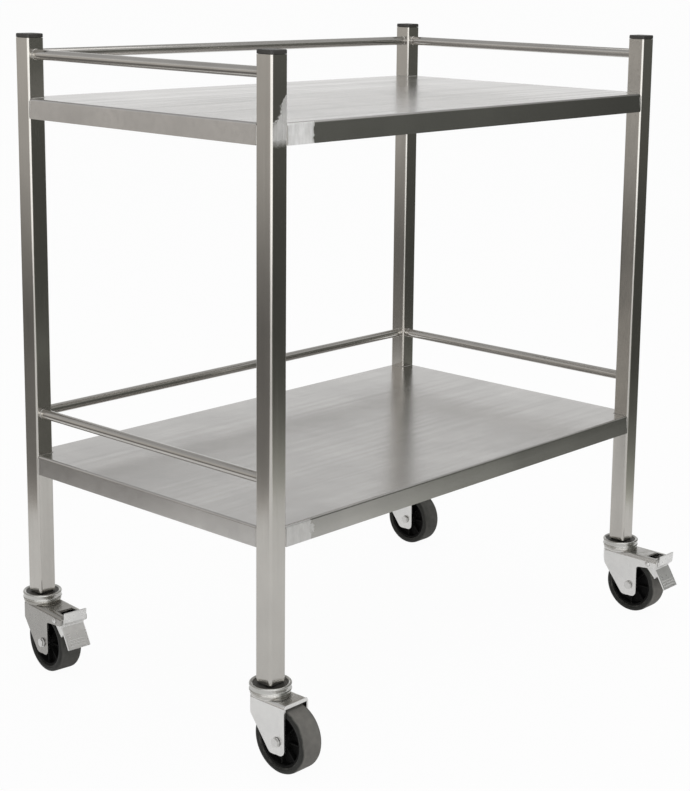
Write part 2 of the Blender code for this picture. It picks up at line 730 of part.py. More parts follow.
def build_castors(collection, frame, mats):
    """Four castors. The swivel, the wheel and the brake each turn with their own empty."""
    cup, balls = race_cup_mesh(), ball_ring_mesh()
    forks = {True: fork_mesh(True), False: fork_mesh(False)}
    tyre, core, bush = tyre_mesh(), wheel_core_mesh(), bush_mesh()
    bolt, nut = axle_bolt_mesh(), axle_nut_mesh()
    pin, lever = brake_pin_mesh(), brake_lever_mesh()
    axle = (0, -TRAIL, WHEEL_RADIUS)
    pivot = (0, BRAKE_PIVOT_BACK, BRAKE_PIVOT_HEIGHT)
    for corner, (side_x, side_y) in CORNERS.items():
        spot = (side_x * POST_X, side_y * POST_Y, 0)
        place("race_cup_" + corner, cup, mats["zinc"], collection, frame, spot)
        place("ball_ring_" + corner, balls, mats["zinc"], collection, frame, spot)
        swivel = empty("swivel_" + corner, collection, frame, spot, AT_REST[corner])
        place("fork_" + corner, forks[corner in BRAKED], mats["zinc"], collection, swivel)
        place("bush_" + corner, bush, mats["zinc"], collection, swivel, axle)
        place("axle_bolt_" + corner, bolt, mats["zinc"], collection, swivel, axle)
        place("axle_nut_" + corner, nut, mats["zinc"], collection, swivel, axle)
        wheel = empty("wheel_" + corner, collection, swivel, axle)
        place("tyre_" + corner, tyre, mats["rubber"], collection, wheel)
        place("wheel_core_" + corner, core, mats["core"], collection, wheel)
        if corner in BRAKED:
            place("brake_pin_" + corner, pin, mats["zinc"], collection, swivel, pivot)
            place("brake_lever_" + corner, lever, mats["zinc"], collection, swivel, pivot)


def centre_over_origin(frame, collection):
    """Move the frame so that the middle of everything built lies over the origin."""
    bpy.context.view_layer.update()
    points = [obj.matrix_world @ vert.co
              for obj in collection.objects if obj.type == "MESH" for vert in obj.data.vertices]
    for axis in range(2):
        along = [point[axis] for point in points]
        frame.location[axis] -= (min(along) + max(along)) / 2


def main():
    clear_scene()
    collection = new_collection("instrument_trolley")
    mats = {
        "steel": material("stainless_steel", (0.62, 0.61, 0.58), 1.0, 0.32),
        "zinc": material("bright_zinc", (0.72, 0.72, 0.72), 1.0, 0.28),
        "cap": material("black_plastic", (0.03, 0.03, 0.03), 0.0, 0.45),
        "rubber": material("black_rubber", (0.025, 0.025, 0.025), 0.0, 0.7),
        "core": material("wheel_plastic", (0.02, 0.02, 0.02), 0.0, 0.5),
    }
    frame = empty("frame", collection, None, (0, 0, 0))
    build_frame(collection, frame, mats)
    build_castors(collection, frame, mats)
    centre_over_origin(frame, collection)


main()
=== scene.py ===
"""Looks of the instrument trolley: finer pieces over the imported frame, with their materials,
the floor, the light and the camera. Metres, +Z up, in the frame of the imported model.
"""
import math

import bmesh
import bpy
from mathutils import Matrix, Vector


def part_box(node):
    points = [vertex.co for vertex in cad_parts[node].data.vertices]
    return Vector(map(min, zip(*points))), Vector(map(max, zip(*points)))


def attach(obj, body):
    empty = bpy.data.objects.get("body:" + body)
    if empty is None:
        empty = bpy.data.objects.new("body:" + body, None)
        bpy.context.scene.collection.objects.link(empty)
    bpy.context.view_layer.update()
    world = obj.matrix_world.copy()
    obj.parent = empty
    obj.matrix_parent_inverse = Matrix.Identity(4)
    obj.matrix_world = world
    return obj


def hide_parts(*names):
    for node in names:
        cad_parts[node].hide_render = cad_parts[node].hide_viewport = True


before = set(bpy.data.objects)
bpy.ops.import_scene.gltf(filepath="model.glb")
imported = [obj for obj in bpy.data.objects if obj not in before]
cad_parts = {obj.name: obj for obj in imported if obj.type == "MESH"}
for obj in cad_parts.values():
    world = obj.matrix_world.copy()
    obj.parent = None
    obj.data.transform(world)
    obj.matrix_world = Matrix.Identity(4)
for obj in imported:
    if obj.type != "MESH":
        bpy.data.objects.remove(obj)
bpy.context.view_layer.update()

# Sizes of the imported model, but for the tube's corners, which are a little rounder here
OVERALL_HEIGHT = 0.825
FRAME_LENGTH = 0.735
FRAME_WIDTH = 0.455
SHELF_TOPS = {"upper": 0.7455, "lower": 0.2865}
SEAT_GAP = 0.0003
TUBE_SIDE = 0.0254
TUBE_WALL = 0.0012
TUBE_CORNER = 0.0036
CAP_HEAD = 0.0049
CAP_PLUG_SIDE = 0.0192
CAP_PLUG_DEPTH = 0.018
CAP_FIN_SIDE = 0.0224
CAP_FIN_DEPTHS = (0.0038, 0.0102)
CAP_FIN_HALF = 0.0007
SHEET = 0.0012
SHELF_EDGE_DEPTH = 0.025
SHELF_BEND = 0.0028
SHELF_INSET = 0.0016
STIFFENER_END_GAP = 0.004
RAIL_RADIUS = 0.00635
RAIL_HEIGHT = 0.054
CASTOR_HEIGHT = 0.100
WHEEL_RADIUS = 0.040
WHEEL_HALF = 0.016
TRAIL = 0.0295
LEG_INNER = 0.0172
FORK_SHEET = 0.0025
LEG_OUTER = LEG_INNER + FORK_SHEET
CROWN_TOP = 0.0911
PLATE_TOP = 0.0871
CROWN_RADIUS = 0.024
CUP_TOP = 0.0997
CUP_RADIUS = 0.025
STEM_RADIUS = 0.005
STEM_LENGTH = 0.026
RIVET_TOP = 0.0843
LEG_TOE = -0.0185
LEG_HEEL = -0.042
LEG_BOTTOM = 0.0245
EAR_END = -0.0755
EAR_BOTTOM = 0.071
EAR_SLOT_START = -0.0535
EAR_SLOT_HALF = 0.011
AXLE_RADIUS = 0.003
BOLT_FLATS = 0.010
BOLT_HEAD = 0.003
BOLT_END = 0.0012
NUT_HEIGHT = 0.0042
PIN_RADIUS = 0.0025
PIN_HEAD = 0.0015
BRAKE_ANGLE = 10.0
BRAKE_SHEET = 0.0022
BRAKE_SIDE_GAP = 0.0006
EYE_RADIUS = 0.0046
LEVER_BENDS = ((-0.0795, 0.0930), (-0.0785, 0.0800), (-0.0710, 0.0730), (-0.0770, 0.0640),
               (-0.0880, 0.0455))
SHOE_ANGLE = 24.0
SHOE_GAP = 0.0007
TYRE_STEPS = 24
PIVOT = Vector((0, -0.0605, 0.0792))
AXLE = Vector((0, -TRAIL, WHEEL_RADIUS))

# Looks only
FLANGE_LEAN = 0.0011
END_LEANS = {"upper": 0.0011, "lower": 0.0003}
FORK_FRONT = 0.0245
FORK_FRONT_BOTTOM = 0.0781
FRONT_RADIUS = 0.0235
CREASE_AT = -0.0270
CREASE_DEPTH = 0.0008
RIB_COUNT = 8
GRIP_PLACES = (0.45, 0.62, 0.79)
BEAD_RADIUS = 0.0014
TOP_BEAD_RADIUS = 0.0012
RIPPLE_LENGTH = 0.0008
PATCH_END = 0.0655
PATCH_SLOPE = 1.75
PATCH_FOOT = 0.0268
PATCH_FADE = 0.009
GLOW_SEEN = 0.96
GLOW_MIRRORED = 0.45

POST_X = (FRAME_LENGTH - TUBE_SIDE) / 2
POST_Y = (FRAME_WIDTH - TUBE_SIDE) / 2
CORNERS = {
    "front_left": (-1, -1),
    "front_right": (1, -1),
    "back_left": (-1, 1),
    "back_right": (1, 1),
}
TURNS = {"front_left": 0.0, "front_right": 0.0, "back_left": -6.0, "back_right": 0.0}
BRAKED = ("front_right", "back_left")

near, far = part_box("post_front_left")[0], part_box("post_back_right")[1]
MIDDLE = Vector(((near.x + far.x) / 2, (near.y + far.y) / 2, 0))


# Materials

class Nodes:
    """A material's node tree, with short calls for what this script uses."""

    def __init__(self, name):
        self.mat = bpy.data.materials.new(name)
        self.mat.use_nodes = True
        self.tree = self.mat.node_tree
        self.shader = self.tree.nodes["Principled BSDF"]
        self.coords = self.add("ShaderNodeTexCoord").outputs["Object"]

    def add(self, kind, **settings):
        node = self.tree.nodes.new(kind)
        for key, value in settings.items():
            setattr(node, key, value)
        return node

    def join(self, source, target):
        self.tree.links.new(source, target)

    def apart(self):
        """The place on the object, as X, Y and Z outputs."""
        node = self.add("ShaderNodeSeparateXYZ")
        self.join(self.coords, node.inputs["Vector"])
        return node.outputs

    def noise(self, stretch, detail=3.0, roughness=0.55):
        """Noise whose frequency along each axis is given, in turns per metre."""
        mapping = self.add("ShaderNodeMapping")
        mapping.inputs["Scale"].default_value = stretch
        self.join(self.coords, mapping.inputs["Vector"])
        noise = self.add("ShaderNodeTexNoise")
        noise.inputs["Scale"].default_value = 1.0
        noise.inputs["Detail"].default_value = detail
        noise.inputs["Roughness"].default_value = roughness
        self.join(mapping.outputs["Vector"], noise.inputs["Vector"])
        return noise.outputs["Fac"]

    def ranged(self, value, low, high, to_low, to_high):
        node = self.add("ShaderNodeMapRange")
        for key, number in (("From Min", low), ("From Max", high),
                            ("To Min", to_low), ("To Max", to_high)):
            node.inputs[key].default_value = number
        self.join(value, node.inputs["Value"])
        return node.outputs["Result"]

    def maths(self, operation, first, second):
        node = self.add("ShaderNodeMath", operation=operation)
        for socket, value in zip(node.inputs, (first, second)):
            if isinstance(value, (int, float)):
                socket.default_value = value
            else:
                self.join(value, socket)
        return node.outputs["Value"]

    def mixed(self, factor, first, second):
        """A colour between two colours, each a tuple or a socket."""
        node = self.add("ShaderNodeMix", data_type="RGBA")
        self.join(factor, node.inputs["Factor"])
        for key, value in (("A", first), ("B", second)):
            socket = [s for s in node.inputs if s.name == key and s.type == "RGBA"][0]
            if isinstance(value, tuple):
                socket.default_value = (*value, 1.0)
            else:
                self.join(value, socket)
        return [s for s in node.outputs if s.type == "RGBA"][0]

    def bump(self, height, distance, strength, under=None):
        node = self.add("ShaderNodeBump")
        node.inputs["Distance"].default_value = distance
        node.inputs["Strength"].default_value = strength
        self.join(height, node.inputs["Height"])
        if under:
            self.join(under, node.inputs["Normal"])
        return node.outputs["Normal"]

    def finish(self, colour, roughness, normal=None, **sockets):
        if isinstance(colour, tuple):
            self.shader.inputs["Base Color"].default_value = (*colour, 1.0)
        else:
            self.join(colour, self.shader.inputs["Base Color"])
        if isinstance(roughness, float):
            self.shader.inputs["Roughness"].default_value = roughness
        else:
            self.join(roughness, self.shader.inputs["Roughness"])
        if normal:
            self.join(normal, self.shader.inputs["Normal"])
        for key, value in sockets.items():
            self.shader.inputs[key.replace("_", " ")].default_value = value
        return self.mat


def shaded(colour, share):
    return tuple(value * share for value in colour)


def painted_highlight_patch(nodes):
    """How strongly a painted highlight shows where the shelves' open side meets the front left
    post,
    from 0 to 1: the steel there is rougher, as ground steel, and its colour is painted near white.
    Places count from the frame's front left corner."""
    place = nodes.apart()
    wander = nodes.ranged(nodes.noise((110, 110, 110), 4.0), 0.3, 0.7, -0.005, 0.005)
    along = nodes.maths("SUBTRACT", place["X"], MIDDLE.x - FRAME_LENGTH / 2)
    across = nodes.maths("ADD", along, wander)
    depth = nodes.maths("SUBTRACT", place["Y"], MIDDLE.y - FRAME_WIDTH / 2)
    face = nodes.maths("MULTIPLY", nodes.ranged(depth, 0.0021, 0.0023, 1.0, 0.0),
                       nodes.ranged(along, 0.0020, 0.0026, 0.0, 1.0))
    face = nodes.maths("MULTIPLY", face,
                       nodes.ranged(across, PATCH_END, PATCH_END + 0.004, 1.0, 0.0))
    height = place["Z"]
    bands = []
    for level, top in SHELF_TOPS.items():
        slope = nodes.maths("MULTIPLY", nodes.maths("SUBTRACT", across, 0.0045),
                            PATCH_SLOPE)
        above = nodes.maths("ADD", nodes.maths("MINIMUM", slope, 0.036), top - 0.003)
        below = nodes.maths("ADD", nodes.maths("MULTIPLY", wander, 0.3), top - PATCH_FOOT)
        faded = nodes.ranged(nodes.maths("SUBTRACT", height, below), 0.0, PATCH_FADE, 0.0, 1.0)
        faded = nodes.maths("MAXIMUM", faded, nodes.maths("GREATER_THAN", along, TUBE_SIDE))
        band = nodes.maths("MULTIPLY", faded, nodes.maths("GREATER_THAN", height, below))
        band = nodes.maths("MULTIPLY", band, nodes.ranged(nodes.maths("SUBTRACT", height, above),
                                                          -0.002, 0.003, 1, 0))
        on_post, on_shelf = (0.72, 1.0) if level == "upper" else (0.0, 0.5)
        share = nodes.ranged(along, TUBE_SIDE, TUBE_SIDE + 0.0002, on_post, on_shelf)
        bands.append(nodes.maths("MULTIPLY", band, share))
    return nodes.maths("MULTIPLY", face, nodes.maths("MAXIMUM", *bands))


def painted_end_shade(nodes):
    """Painted shade on the upper shelf's open edge, growing towards its right end, from 0 to 1."""
    place = nodes.apart()
    start, end = MIDDLE.x - 0.16, MIDDLE.x + 0.30
    along = nodes.ranged(place["X"], start, end, 0.0, 1.0)
    edge = nodes.maths("LESS_THAN", place["Y"], MIDDLE.y - FRAME_WIDTH / 2 + 0.0035)
    upper = nodes.maths("GREATER_THAN", place["Z"], SHELF_TOPS["upper"] - 0.030)
    return nodes.maths("MULTIPLY", along, nodes.maths("MULTIPLY", edge, upper))


def steel(name, stretch, colour, rough, grain, with_highlight=False, with_end_shade=False):
    """Stainless steel with fine grain and faint clouding. Where asked, it has the painted highlight
    patch, and the shelves' sheet has painted shade towards one end."""
    nodes = Nodes(name)
    clouds = nodes.noise((9, 9, 6), 4.0, 0.6)
    lines = nodes.noise(stretch, 2.0, 0.7)
    smears = nodes.noise(tuple(value / 12 for value in stretch), 3.0, 0.6)
    base = nodes.mixed(nodes.ranged(clouds, 0.3, 0.7, 0.0, 1.0), shaded(colour, 0.86),
                       shaded(colour, 1.05))
    base = nodes.mixed(nodes.ranged(smears, 0.45, 0.7, 0.0, 0.5), base, shaded(colour, 0.88))
    coarse = nodes.ranged(smears, 0.3, 0.7, rough[0], rough[1])
    if with_highlight:
        highlight_patch = painted_highlight_patch(nodes)
        if with_end_shade:
            # Painted shade: the sheet's colour falls to about half towards the open edge's right
            # end
            base = nodes.mixed(painted_end_shade(nodes), base, shaded(colour, 0.55))
        # Painted highlight: within the patch the colour goes near white and the metal drops, so it
        # reads as lit; the scuffs noise varies its brightness
        scuffs = nodes.ranged(nodes.noise((120, 120, 40), 4.0, 0.7), 0.35, 0.7, 0.0, 1.0)
        bright = nodes.mixed(scuffs, (0.72, 0.715, 0.70), (1.0, 0.995, 0.985))
        base = nodes.mixed(highlight_patch, base, bright)
        coarse = nodes.maths("ADD", coarse, nodes.ranged(highlight_patch, 0.0, 1.0, 0.0, 0.2))
        nodes.join(nodes.ranged(highlight_patch, 0.0, 1.0, 1.0, 0.15), nodes.shader.inputs["Metallic"])
    else:
        nodes.shader.inputs["Metallic"].default_value = 1.0
    normal = nodes.bump(lines, grain, 0.5)
    normal = nodes.bump(nodes.noise((14, 14, 9), 2.0), 0.0005, 0.2, normal)
    return nodes.finish(base, coarse, normal)


def zinc(name, colour, rough, grain, recess=0.0, metallic=1.0, crown=False):
    """Zinc plate: bright, faintly mottled, with a little wear, and with painted shade inside a
    cup's recess and on top of a fork's crown, where asked."""
    nodes = Nodes(name)
    mottle = nodes.noise((150, 150, 150), 2.0, 0.5)
    clouds = nodes.noise((35, 35, 35), 3.0)
    base = nodes.mixed(nodes.ranged(mottle, 0.35, 0.7, 0.0, 1.0), colour, shaded(colour, 0.97))
    base = nodes.mixed(nodes.ranged(clouds, 0.5, 0.75, 0.0, 0.5), base,
                       (colour[0] * 0.88, colour[1] * 0.88, colour[2] * 0.89))
    coarse = nodes.ranged(mottle, 0.3, 0.7, rough[0], rough[1])
    # Painted shade: the cup's recess round the post's foot is coloured near black
    if recess:
        place = nodes.apart()
        reach = nodes.maths("ADD", *[nodes.maths("POWER", place[axis], 2.0) for axis in "XY"])
        within = nodes.ranged(reach, recess ** 2, (recess + 0.001) ** 2, 1, 0)
        inside = nodes.maths("MULTIPLY", within,
                             nodes.maths("GREATER_THAN", place["Z"], CUP_TOP - 0.0026))
        base = nodes.mixed(inside, base, (0.12, 0.117, 0.108))
        coarse = nodes.maths("MAXIMUM", coarse, nodes.maths("MULTIPLY", inside, 0.5))
    # Painted shade: the crown's top under the cup is darkened in mottled patches
    if crown:
        crown_shade = nodes.ranged(nodes.noise((90, 90, 90), 4.0), 0.35, 0.65, 0.35, 0.9)
        above = nodes.maths("GREATER_THAN", nodes.apart()["Z"], PLATE_TOP - 0.0006)
        base = nodes.mixed(nodes.maths("MULTIPLY", crown_shade, above), base, (0.42, 0.405, 0.37))
    return nodes.finish(base, coarse, nodes.bump(mottle, grain, 0.5), Metallic=metallic)


def moulded(name, colour, worn, rough, scale, grain, **sockets):
    """Plastic: fine surface grain, with scuffs and dust in broad patches."""
    nodes = Nodes(name)
    fine = nodes.noise((scale, scale, scale), 3.0, 0.6)
    broad = nodes.noise((18, 18, 18), 4.0, 0.6)
    base = nodes.mixed(nodes.ranged(broad, 0.45, 0.75, 0.0, 1.0), colour, worn)
    coarse = nodes.ranged(broad, 0.3, 0.7, rough[0], rough[1])
    return nodes.finish(base, coarse, nodes.bump(fine, grain, 0.6), **sockets)


def tyre_rubber(name, dusty, dustier):
    """Rubber that is dusty grey on its tread and near black on its sides."""
    nodes = Nodes(name)
    across = nodes.maths("ABSOLUTE", nodes.apart()["X"], 0.0)
    dust = nodes.noise((60, 60, 60), 5.0, 0.65)
    edge = nodes.maths("ADD", across, nodes.ranged(dust, 0.3, 0.7, -0.0012, 0.0012))
    tread = nodes.ranged(edge, 0.0128, 0.0150, 1.0, 0.0)
    worn = nodes.mixed(nodes.ranged(dust, 0.3, 0.7, 0.0, 1.0), dusty, dustier)
    base = nodes.mixed(tread, (0.016, 0.0165, 0.014), worn)
    coarse = nodes.ranged(tread, 0.0, 1.0, 0.5, 0.78)
    fine = nodes.bump(nodes.noise((900, 900, 900), 3.0), 0.0002, 0.6)
    return nodes.finish(base, coarse, fine, Specular_IOR_Level=0.35)


MATS = {
    "post": steel("steel_tube", (1500, 1500, 26), (0.60, 0.58, 0.545), (0.11, 0.19), 0.000012,
                  with_highlight=True),
    "shelf": steel("steel_sheet", (22, 1300, 1300), (0.66, 0.645, 0.625), (0.20, 0.27), 0.000012,
                   with_highlight=True, with_end_shade=True),
    "rail_x": steel("steel_rail_long", (16, 1400, 1400), (0.60, 0.58, 0.55), (0.12, 0.2), 0.00001),
    "rail_y": steel("steel_rail_end", (1400, 16, 1400), (0.60, 0.58, 0.55), (0.12, 0.2), 0.00001),
    "bead": steel("steel_weld", (700, 700, 700), (0.54, 0.525, 0.50), (0.34, 0.44), 0.00002),
    "zinc": zinc("zinc_plate", (0.84, 0.835, 0.82), (0.22, 0.27), 0.000012, crown=True),
    # Painted shade: a darker copy of the zinc plate, for the back left castor's fork
    "shaded_zinc": zinc("zinc_painted_shade", (0.43, 0.42, 0.40), (0.24, 0.30), 0.000012, crown=True),
    "lever": zinc("zinc_lever", (0.86, 0.855, 0.84), (0.26, 0.34), 0.000012, metallic=0.7),
    "cup": zinc("zinc_cup", (0.60, 0.595, 0.57), (0.18, 0.24), 0.00001, recess=0.0208),
    "bolt": zinc("zinc_bolt", (0.74, 0.735, 0.72), (0.28, 0.36), 0.00002),
    "cap": moulded("cap_plastic", (0.035, 0.033, 0.030), (0.07, 0.066, 0.06), (0.38, 0.5),
                   700, 0.00006),
    "core": moulded("core_plastic", (0.004, 0.004, 0.004), (0.008, 0.008, 0.0075), (0.55, 0.7),
                    600, 0.00006, Specular_IOR_Level=0.12),
    "tyre": tyre_rubber("tyre_rubber", (0.130, 0.126, 0.116), (0.195, 0.188, 0.172)),
    # Painted shade: a darker copy of the tyre rubber, for the back castors
    "tyre_shaded": tyre_rubber("tyre_rubber_shaded", (0.055, 0.055, 0.050), (0.105, 0.102, 0.094)),
}


# Mesh building

def holder(mesh):
    obj = bpy.data.objects.new("work", mesh)
    bpy.context.scene.collection.objects.link(obj)
    return obj


def from_bmesh(bm):
    mesh = bpy.data.meshes.new("work")
    bm.to_mesh(mesh)
    bm.free()
    return holder(mesh)


def settle(obj):
    """Turn the object's modifiers into plain mesh."""
    bpy.context.view_layer.update()
    graph = bpy.context.evaluated_depsgraph_get()
    mesh = bpy.data.meshes.new_from_object(obj.evaluated_get(graph))
    obj.modifiers.clear()
    obj.data = mesh
    return obj


def combine(base, tools, operation):
    for tool in tools:
        modifier = base.modifiers.new(operation.title(), "BOOLEAN")
        modifier.operation = operation
        modifier.solver = "EXACT"
        modifier.object = tool
    settle(base)
    for tool in tools:
        bpy.data.objects.remove(tool, do_unlink=True)
    return base


def merged(base, others):
    """Other meshes added to the first, each left as its own shell."""
    bm = bmesh.new()
    for obj in [base] + others:
        bm.from_mesh(obj.data)
        bpy.data.objects.remove(obj, do_unlink=True)
    return from_bmesh(bm)


def rounded(corners, steps=6):
    """An outline whose corners are (u, v, radius), with the corners drawn as arcs."""
    points = []
    count = len(corners)
    for index, (u, v, radius) in enumerate(corners):
        here = Vector((u, v))
        if radius == 0:
            points.append(here)
            continue
        before = (Vector(corners[index - 1][:2]) - here).normalized()
        after = (Vector(corners[(index + 1) % count][:2]) - here).normalized()
        half = before.angle(after) / 2
        centre = here + (before + after).normalized() * radius / math.sin(half)
        start = here + before * radius / math.tan(half) - centre
        sweep = math.pi - 2 * half
        side = 1 if before.x * after.y - before.y * after.x < 0 else -1
        for step in range(steps + 1):
            angle = side * sweep * step / steps
            points.append(centre + Vector((
                start.x * math.cos(angle) - start.y * math.sin(angle),
                start.x * math.sin(angle) + start.y * math.cos(angle))))
    return points


def skin(loops, closed=False):
    """Faces between loops of points, with the two ends filled, or joined when closed."""
    bm = bmesh.new()
    rows = [[bm.verts.new(point) for point in loop] for loop in loops]
    pairs = list(zip(rows, rows[1:]))
    if closed:
        pairs.append((rows[-1], rows[0]))
    for lower, upper in pairs:
        for index in range(len(lower)):
            after = (index + 1) % len(lower)
            bm.faces.new((lower[index], lower[after], upper[after], upper[index]))
    if not closed:
        bm.faces.new(rows[0])
        bm.faces.new(rows[-1])
    bmesh.ops.recalc_face_normals(bm, faces=bm.faces)
    return from_bmesh(bm)


def circle(radius, height, steps, ripple=0.0, waves=0):
    turns = [2 * math.pi * step / steps for step in range(steps)]
    return [((radius + ripple * math.sin(waves * turn)) * math.cos(turn),
             (radius + ripple * math.sin(waves * turn)) * math.sin(turn), height)
            for turn in turns]


def turned(profile, steps, closed=False):
    """A profile of (radius, height) points turned about Z."""
    return skin([circle(max(radius, 0.00005), height, steps) for radius, height in profile],
                closed)


def square(side, corner, height):
    half = side / 2
    points = rounded([(half, half, corner), (-half, half, corner), (-half, -half, corner),
                      (half, -half, corner)], 8)
    return [(u, v, height) for u, v in points]


def moved(obj, matrix):
    obj.data.transform(matrix)
    return obj


def lay_along_x(obj):
    return moved(obj, Matrix.Rotation(math.pi / 2, 4, "Y"))


def plate(points, low, high):
    """An outline in the YZ plane, made solid between two places along X."""
    return skin([[(x, y, z) for y, z in points] for x in (low, high)])


def block(low, high):
    low, high = Vector(low), Vector(high)
    loop = [(low.x, low.y), (high.x, low.y), (high.x, high.y), (low.x, high.y)]
    return skin([[(x, y, z) for x, y in loop] for z in (low.z, high.z)])


def rod(radius, start, end, steps=24):
    start, end = Vector(start), Vector(end)
    turn = (end - start).to_track_quat("Z", "Y").to_matrix().to_4x4()
    length = (end - start).length
    bar = skin([circle(radius, 0, steps), circle(radius, length, steps)])
    return moved(bar, Matrix.Translation(start) @ turn)


def thicken(obj, thickness, offset):
    solidify = obj.modifiers.new("Sheet", "SOLIDIFY")
    solidify.thickness = thickness
    solidify.offset = offset
    solidify.use_even_offset = True
    settle(obj)
    bm = bmesh.new()
    bm.from_mesh(obj.data)
    bmesh.ops.recalc_face_normals(bm, faces=bm.faces)
    bm.to_mesh(obj.data)
    bm.free()
    return obj


def softened(obj, width, segments=2, angle=40):
    """Small rounded edges wherever two faces meet sharply."""
    bevel = obj.modifiers.new("Edges", "BEVEL")
    bevel.width = width
    bevel.segments = segments
    bevel.limit_method = "ANGLE"
    bevel.angle_limit = math.radians(angle)
    return settle(obj)


def bent_strip(path, half_width, thickness, bend=0.0):
    """A strip of sheet folded along a path of (y, z) points, with half of its width along X on
    each side."""
    corners = [(y, z, bend if 0 < index < len(path) - 1 else 0)
               for index, (y, z) in enumerate(path)]
    points = rounded(corners) if bend else path
    bm = bmesh.new()
    rows = [[bm.verts.new((x, y, z)) for x in (-half_width, half_width)] for y, z in points]
    for before, after in zip(rows, rows[1:]):
        bm.faces.new((before[0], before[1], after[1], after[0]))
    return thicken(from_bmesh(bm), thickness, 0.0)


def finished(obj, angle=35):
    """Smooth on its round faces and true on its flat ones."""
    obj.data.shade_smooth()
    obj.data.set_sharp_from_angle(angle=math.radians(angle))
    shade = obj.modifiers.new("Shade", "WEIGHTED_NORMAL")
    shade.keep_sharp = True
    shade.weight = 60
    settle(obj)
    mesh = obj.data
    bpy.data.objects.remove(obj, do_unlink=True)
    return mesh


def piece(name, mesh, kind, body, stands_for=(), matrix=None):
    """One named piece with its material, riding on a body, in the place of its nodes."""
    mesh.materials.clear()
    mesh.materials.append(MATS[kind])
    obj = bpy.data.objects.new(name, mesh)
    bpy.context.scene.collection.objects.link(obj)
    if matrix is not None:
        obj.matrix_world = matrix
    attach(obj, body)
    for node in stands_for:
        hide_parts(node)
    return obj


# The frame's pieces

def post_piece():
    top = OVERALL_HEIGHT - CAP_HEAD - SEAT_GAP
    inner = TUBE_SIDE - 2 * TUBE_WALL
    return skin([
        square(TUBE_SIDE, TUBE_CORNER, CASTOR_HEIGHT),
        square(TUBE_SIDE, TUBE_CORNER, top),
        square(inner, TUBE_CORNER - TUBE_WALL, top),
        square(inner, TUBE_CORNER - TUBE_WALL, CASTOR_HEIGHT),
    ], closed=True)


def cap_piece():
    """The square head with soft edges, and the plug with its fins below it."""
    low = OVERALL_HEIGHT - CAP_HEAD
    high = OVERALL_HEIGHT
    loops = []
    for inset, height in ((0.0004, low), (0.0, low + 0.0004), (0.0, high - 0.0012),
                          (0.0002, high - 0.0006), (0.0006, high - 0.0002), (0.0013, high)):
        loops.append(square(TUBE_SIDE - 2 * inset, TUBE_CORNER - inset, height))
    head = skin(loops)
    plug = skin([square(CAP_PLUG_SIDE, 0.001, low - CAP_PLUG_DEPTH),
                 square(CAP_PLUG_SIDE, 0.001, low + 0.001)])
    fins = [skin([square(CAP_FIN_SIDE, 0.0018, low - depth - CAP_FIN_HALF),
                  square(CAP_FIN_SIDE, 0.0018, low - depth + CAP_FIN_HALF)])
            for depth in CAP_FIN_DEPTHS]
    return merged(head, [plug] + fins)


def shelf_piece(top, end_lean):
    """A flat sheet notched round the posts, its four edges folded down and leaning out a little."""
    half_x = FRAME_LENGTH / 2 - SHELF_INSET
    half_y = FRAME_WIDTH / 2 - SHELF_INSET
    notch_x = FRAME_LENGTH / 2 - TUBE_SIDE - SEAT_GAP
    notch_y = FRAME_WIDTH / 2 - TUBE_SIDE - SEAT_GAP
    xs = (-half_x, -notch_x, notch_x, half_x)
    ys = (-half_y, -notch_y, notch_y, half_y)
    bm = bmesh.new()
    grid = {}
    for i, x in enumerate(xs):
        for j, y in enumerate(ys):
            if i in (1, 2) or j in (1, 2):
                grid[i, j] = bm.verts.new((x, y, top))
    for i in range(3):
        for j in range(3):
            if i == 1 or j == 1:
                bm.faces.new([grid[i, j], grid[i + 1, j], grid[i + 1, j + 1], grid[i, j + 1]])
    ends = (((0, 1), (0, 2)), ((3, 1), (3, 2)), ((1, 0), (2, 0)), ((1, 3), (2, 3)))
    folds = [bm.edges.get((grid[a], grid[b])) for a, b in ends]
    drop = bmesh.ops.extrude_edge_only(bm, edges=folds)
    for vert in [item for item in drop["geom"] if isinstance(item, bmesh.types.BMVert)]:
        vert.co.z -= SHELF_EDGE_DEPTH
        if abs(abs(vert.co.x) - half_x) < 0.0001:
            vert.co.x += math.copysign(end_lean, vert.co.x)
        else:
            vert.co.y += math.copysign(FLANGE_LEAN, vert.co.y)
    bmesh.ops.bevel(bm, geom=folds, offset=SHELF_BEND, segments=9, profile=0.5, affect="EDGES")
    bmesh.ops.recalc_face_normals(bm, faces=bm.faces)
    if max(bm.faces, key=lambda face: face.calc_area()).normal.z < 0:
        bmesh.ops.reverse_faces(bm, faces=bm.faces)
    return thicken(from_bmesh(bm), SHEET, -1.0)


def stiffener_piece(top):
    under = top - SHEET - SEAT_GAP - SHEET / 2
    crown, foot, depth = 0.017, 0.014, 0.018
    path = ((-crown - foot, under), (-crown, under), (-crown, under - depth),
            (crown, under - depth), (crown, under), (crown + foot, under))
    half_length = FRAME_LENGTH / 2 - SHELF_INSET - SHELF_BEND - STIFFENER_END_GAP
    return bent_strip(path, half_length, SHEET, bend=0.0018)


def rail_piece(start, end):
    return rod(RAIL_RADIUS, start, end, 40)


def weld_ring(start, towards):
    """The fillet of weld round a rail's end."""
    turn = Vector(towards).to_track_quat("Z", "Y").to_matrix().to_4x4()
    loops = [circle(RAIL_RADIUS + extra, height, 56, 0.00006 * (extra > 0), 19)
             for extra, height in ((-0.0002, 0), (0.0006, 0), (0.0005, 0.0003), (0.0002, 0.0006),
                                   (0.0001, 0.0009), (-0.0002, 0.0011))]
    return moved(skin(loops), Matrix.Translation(start) @ turn)


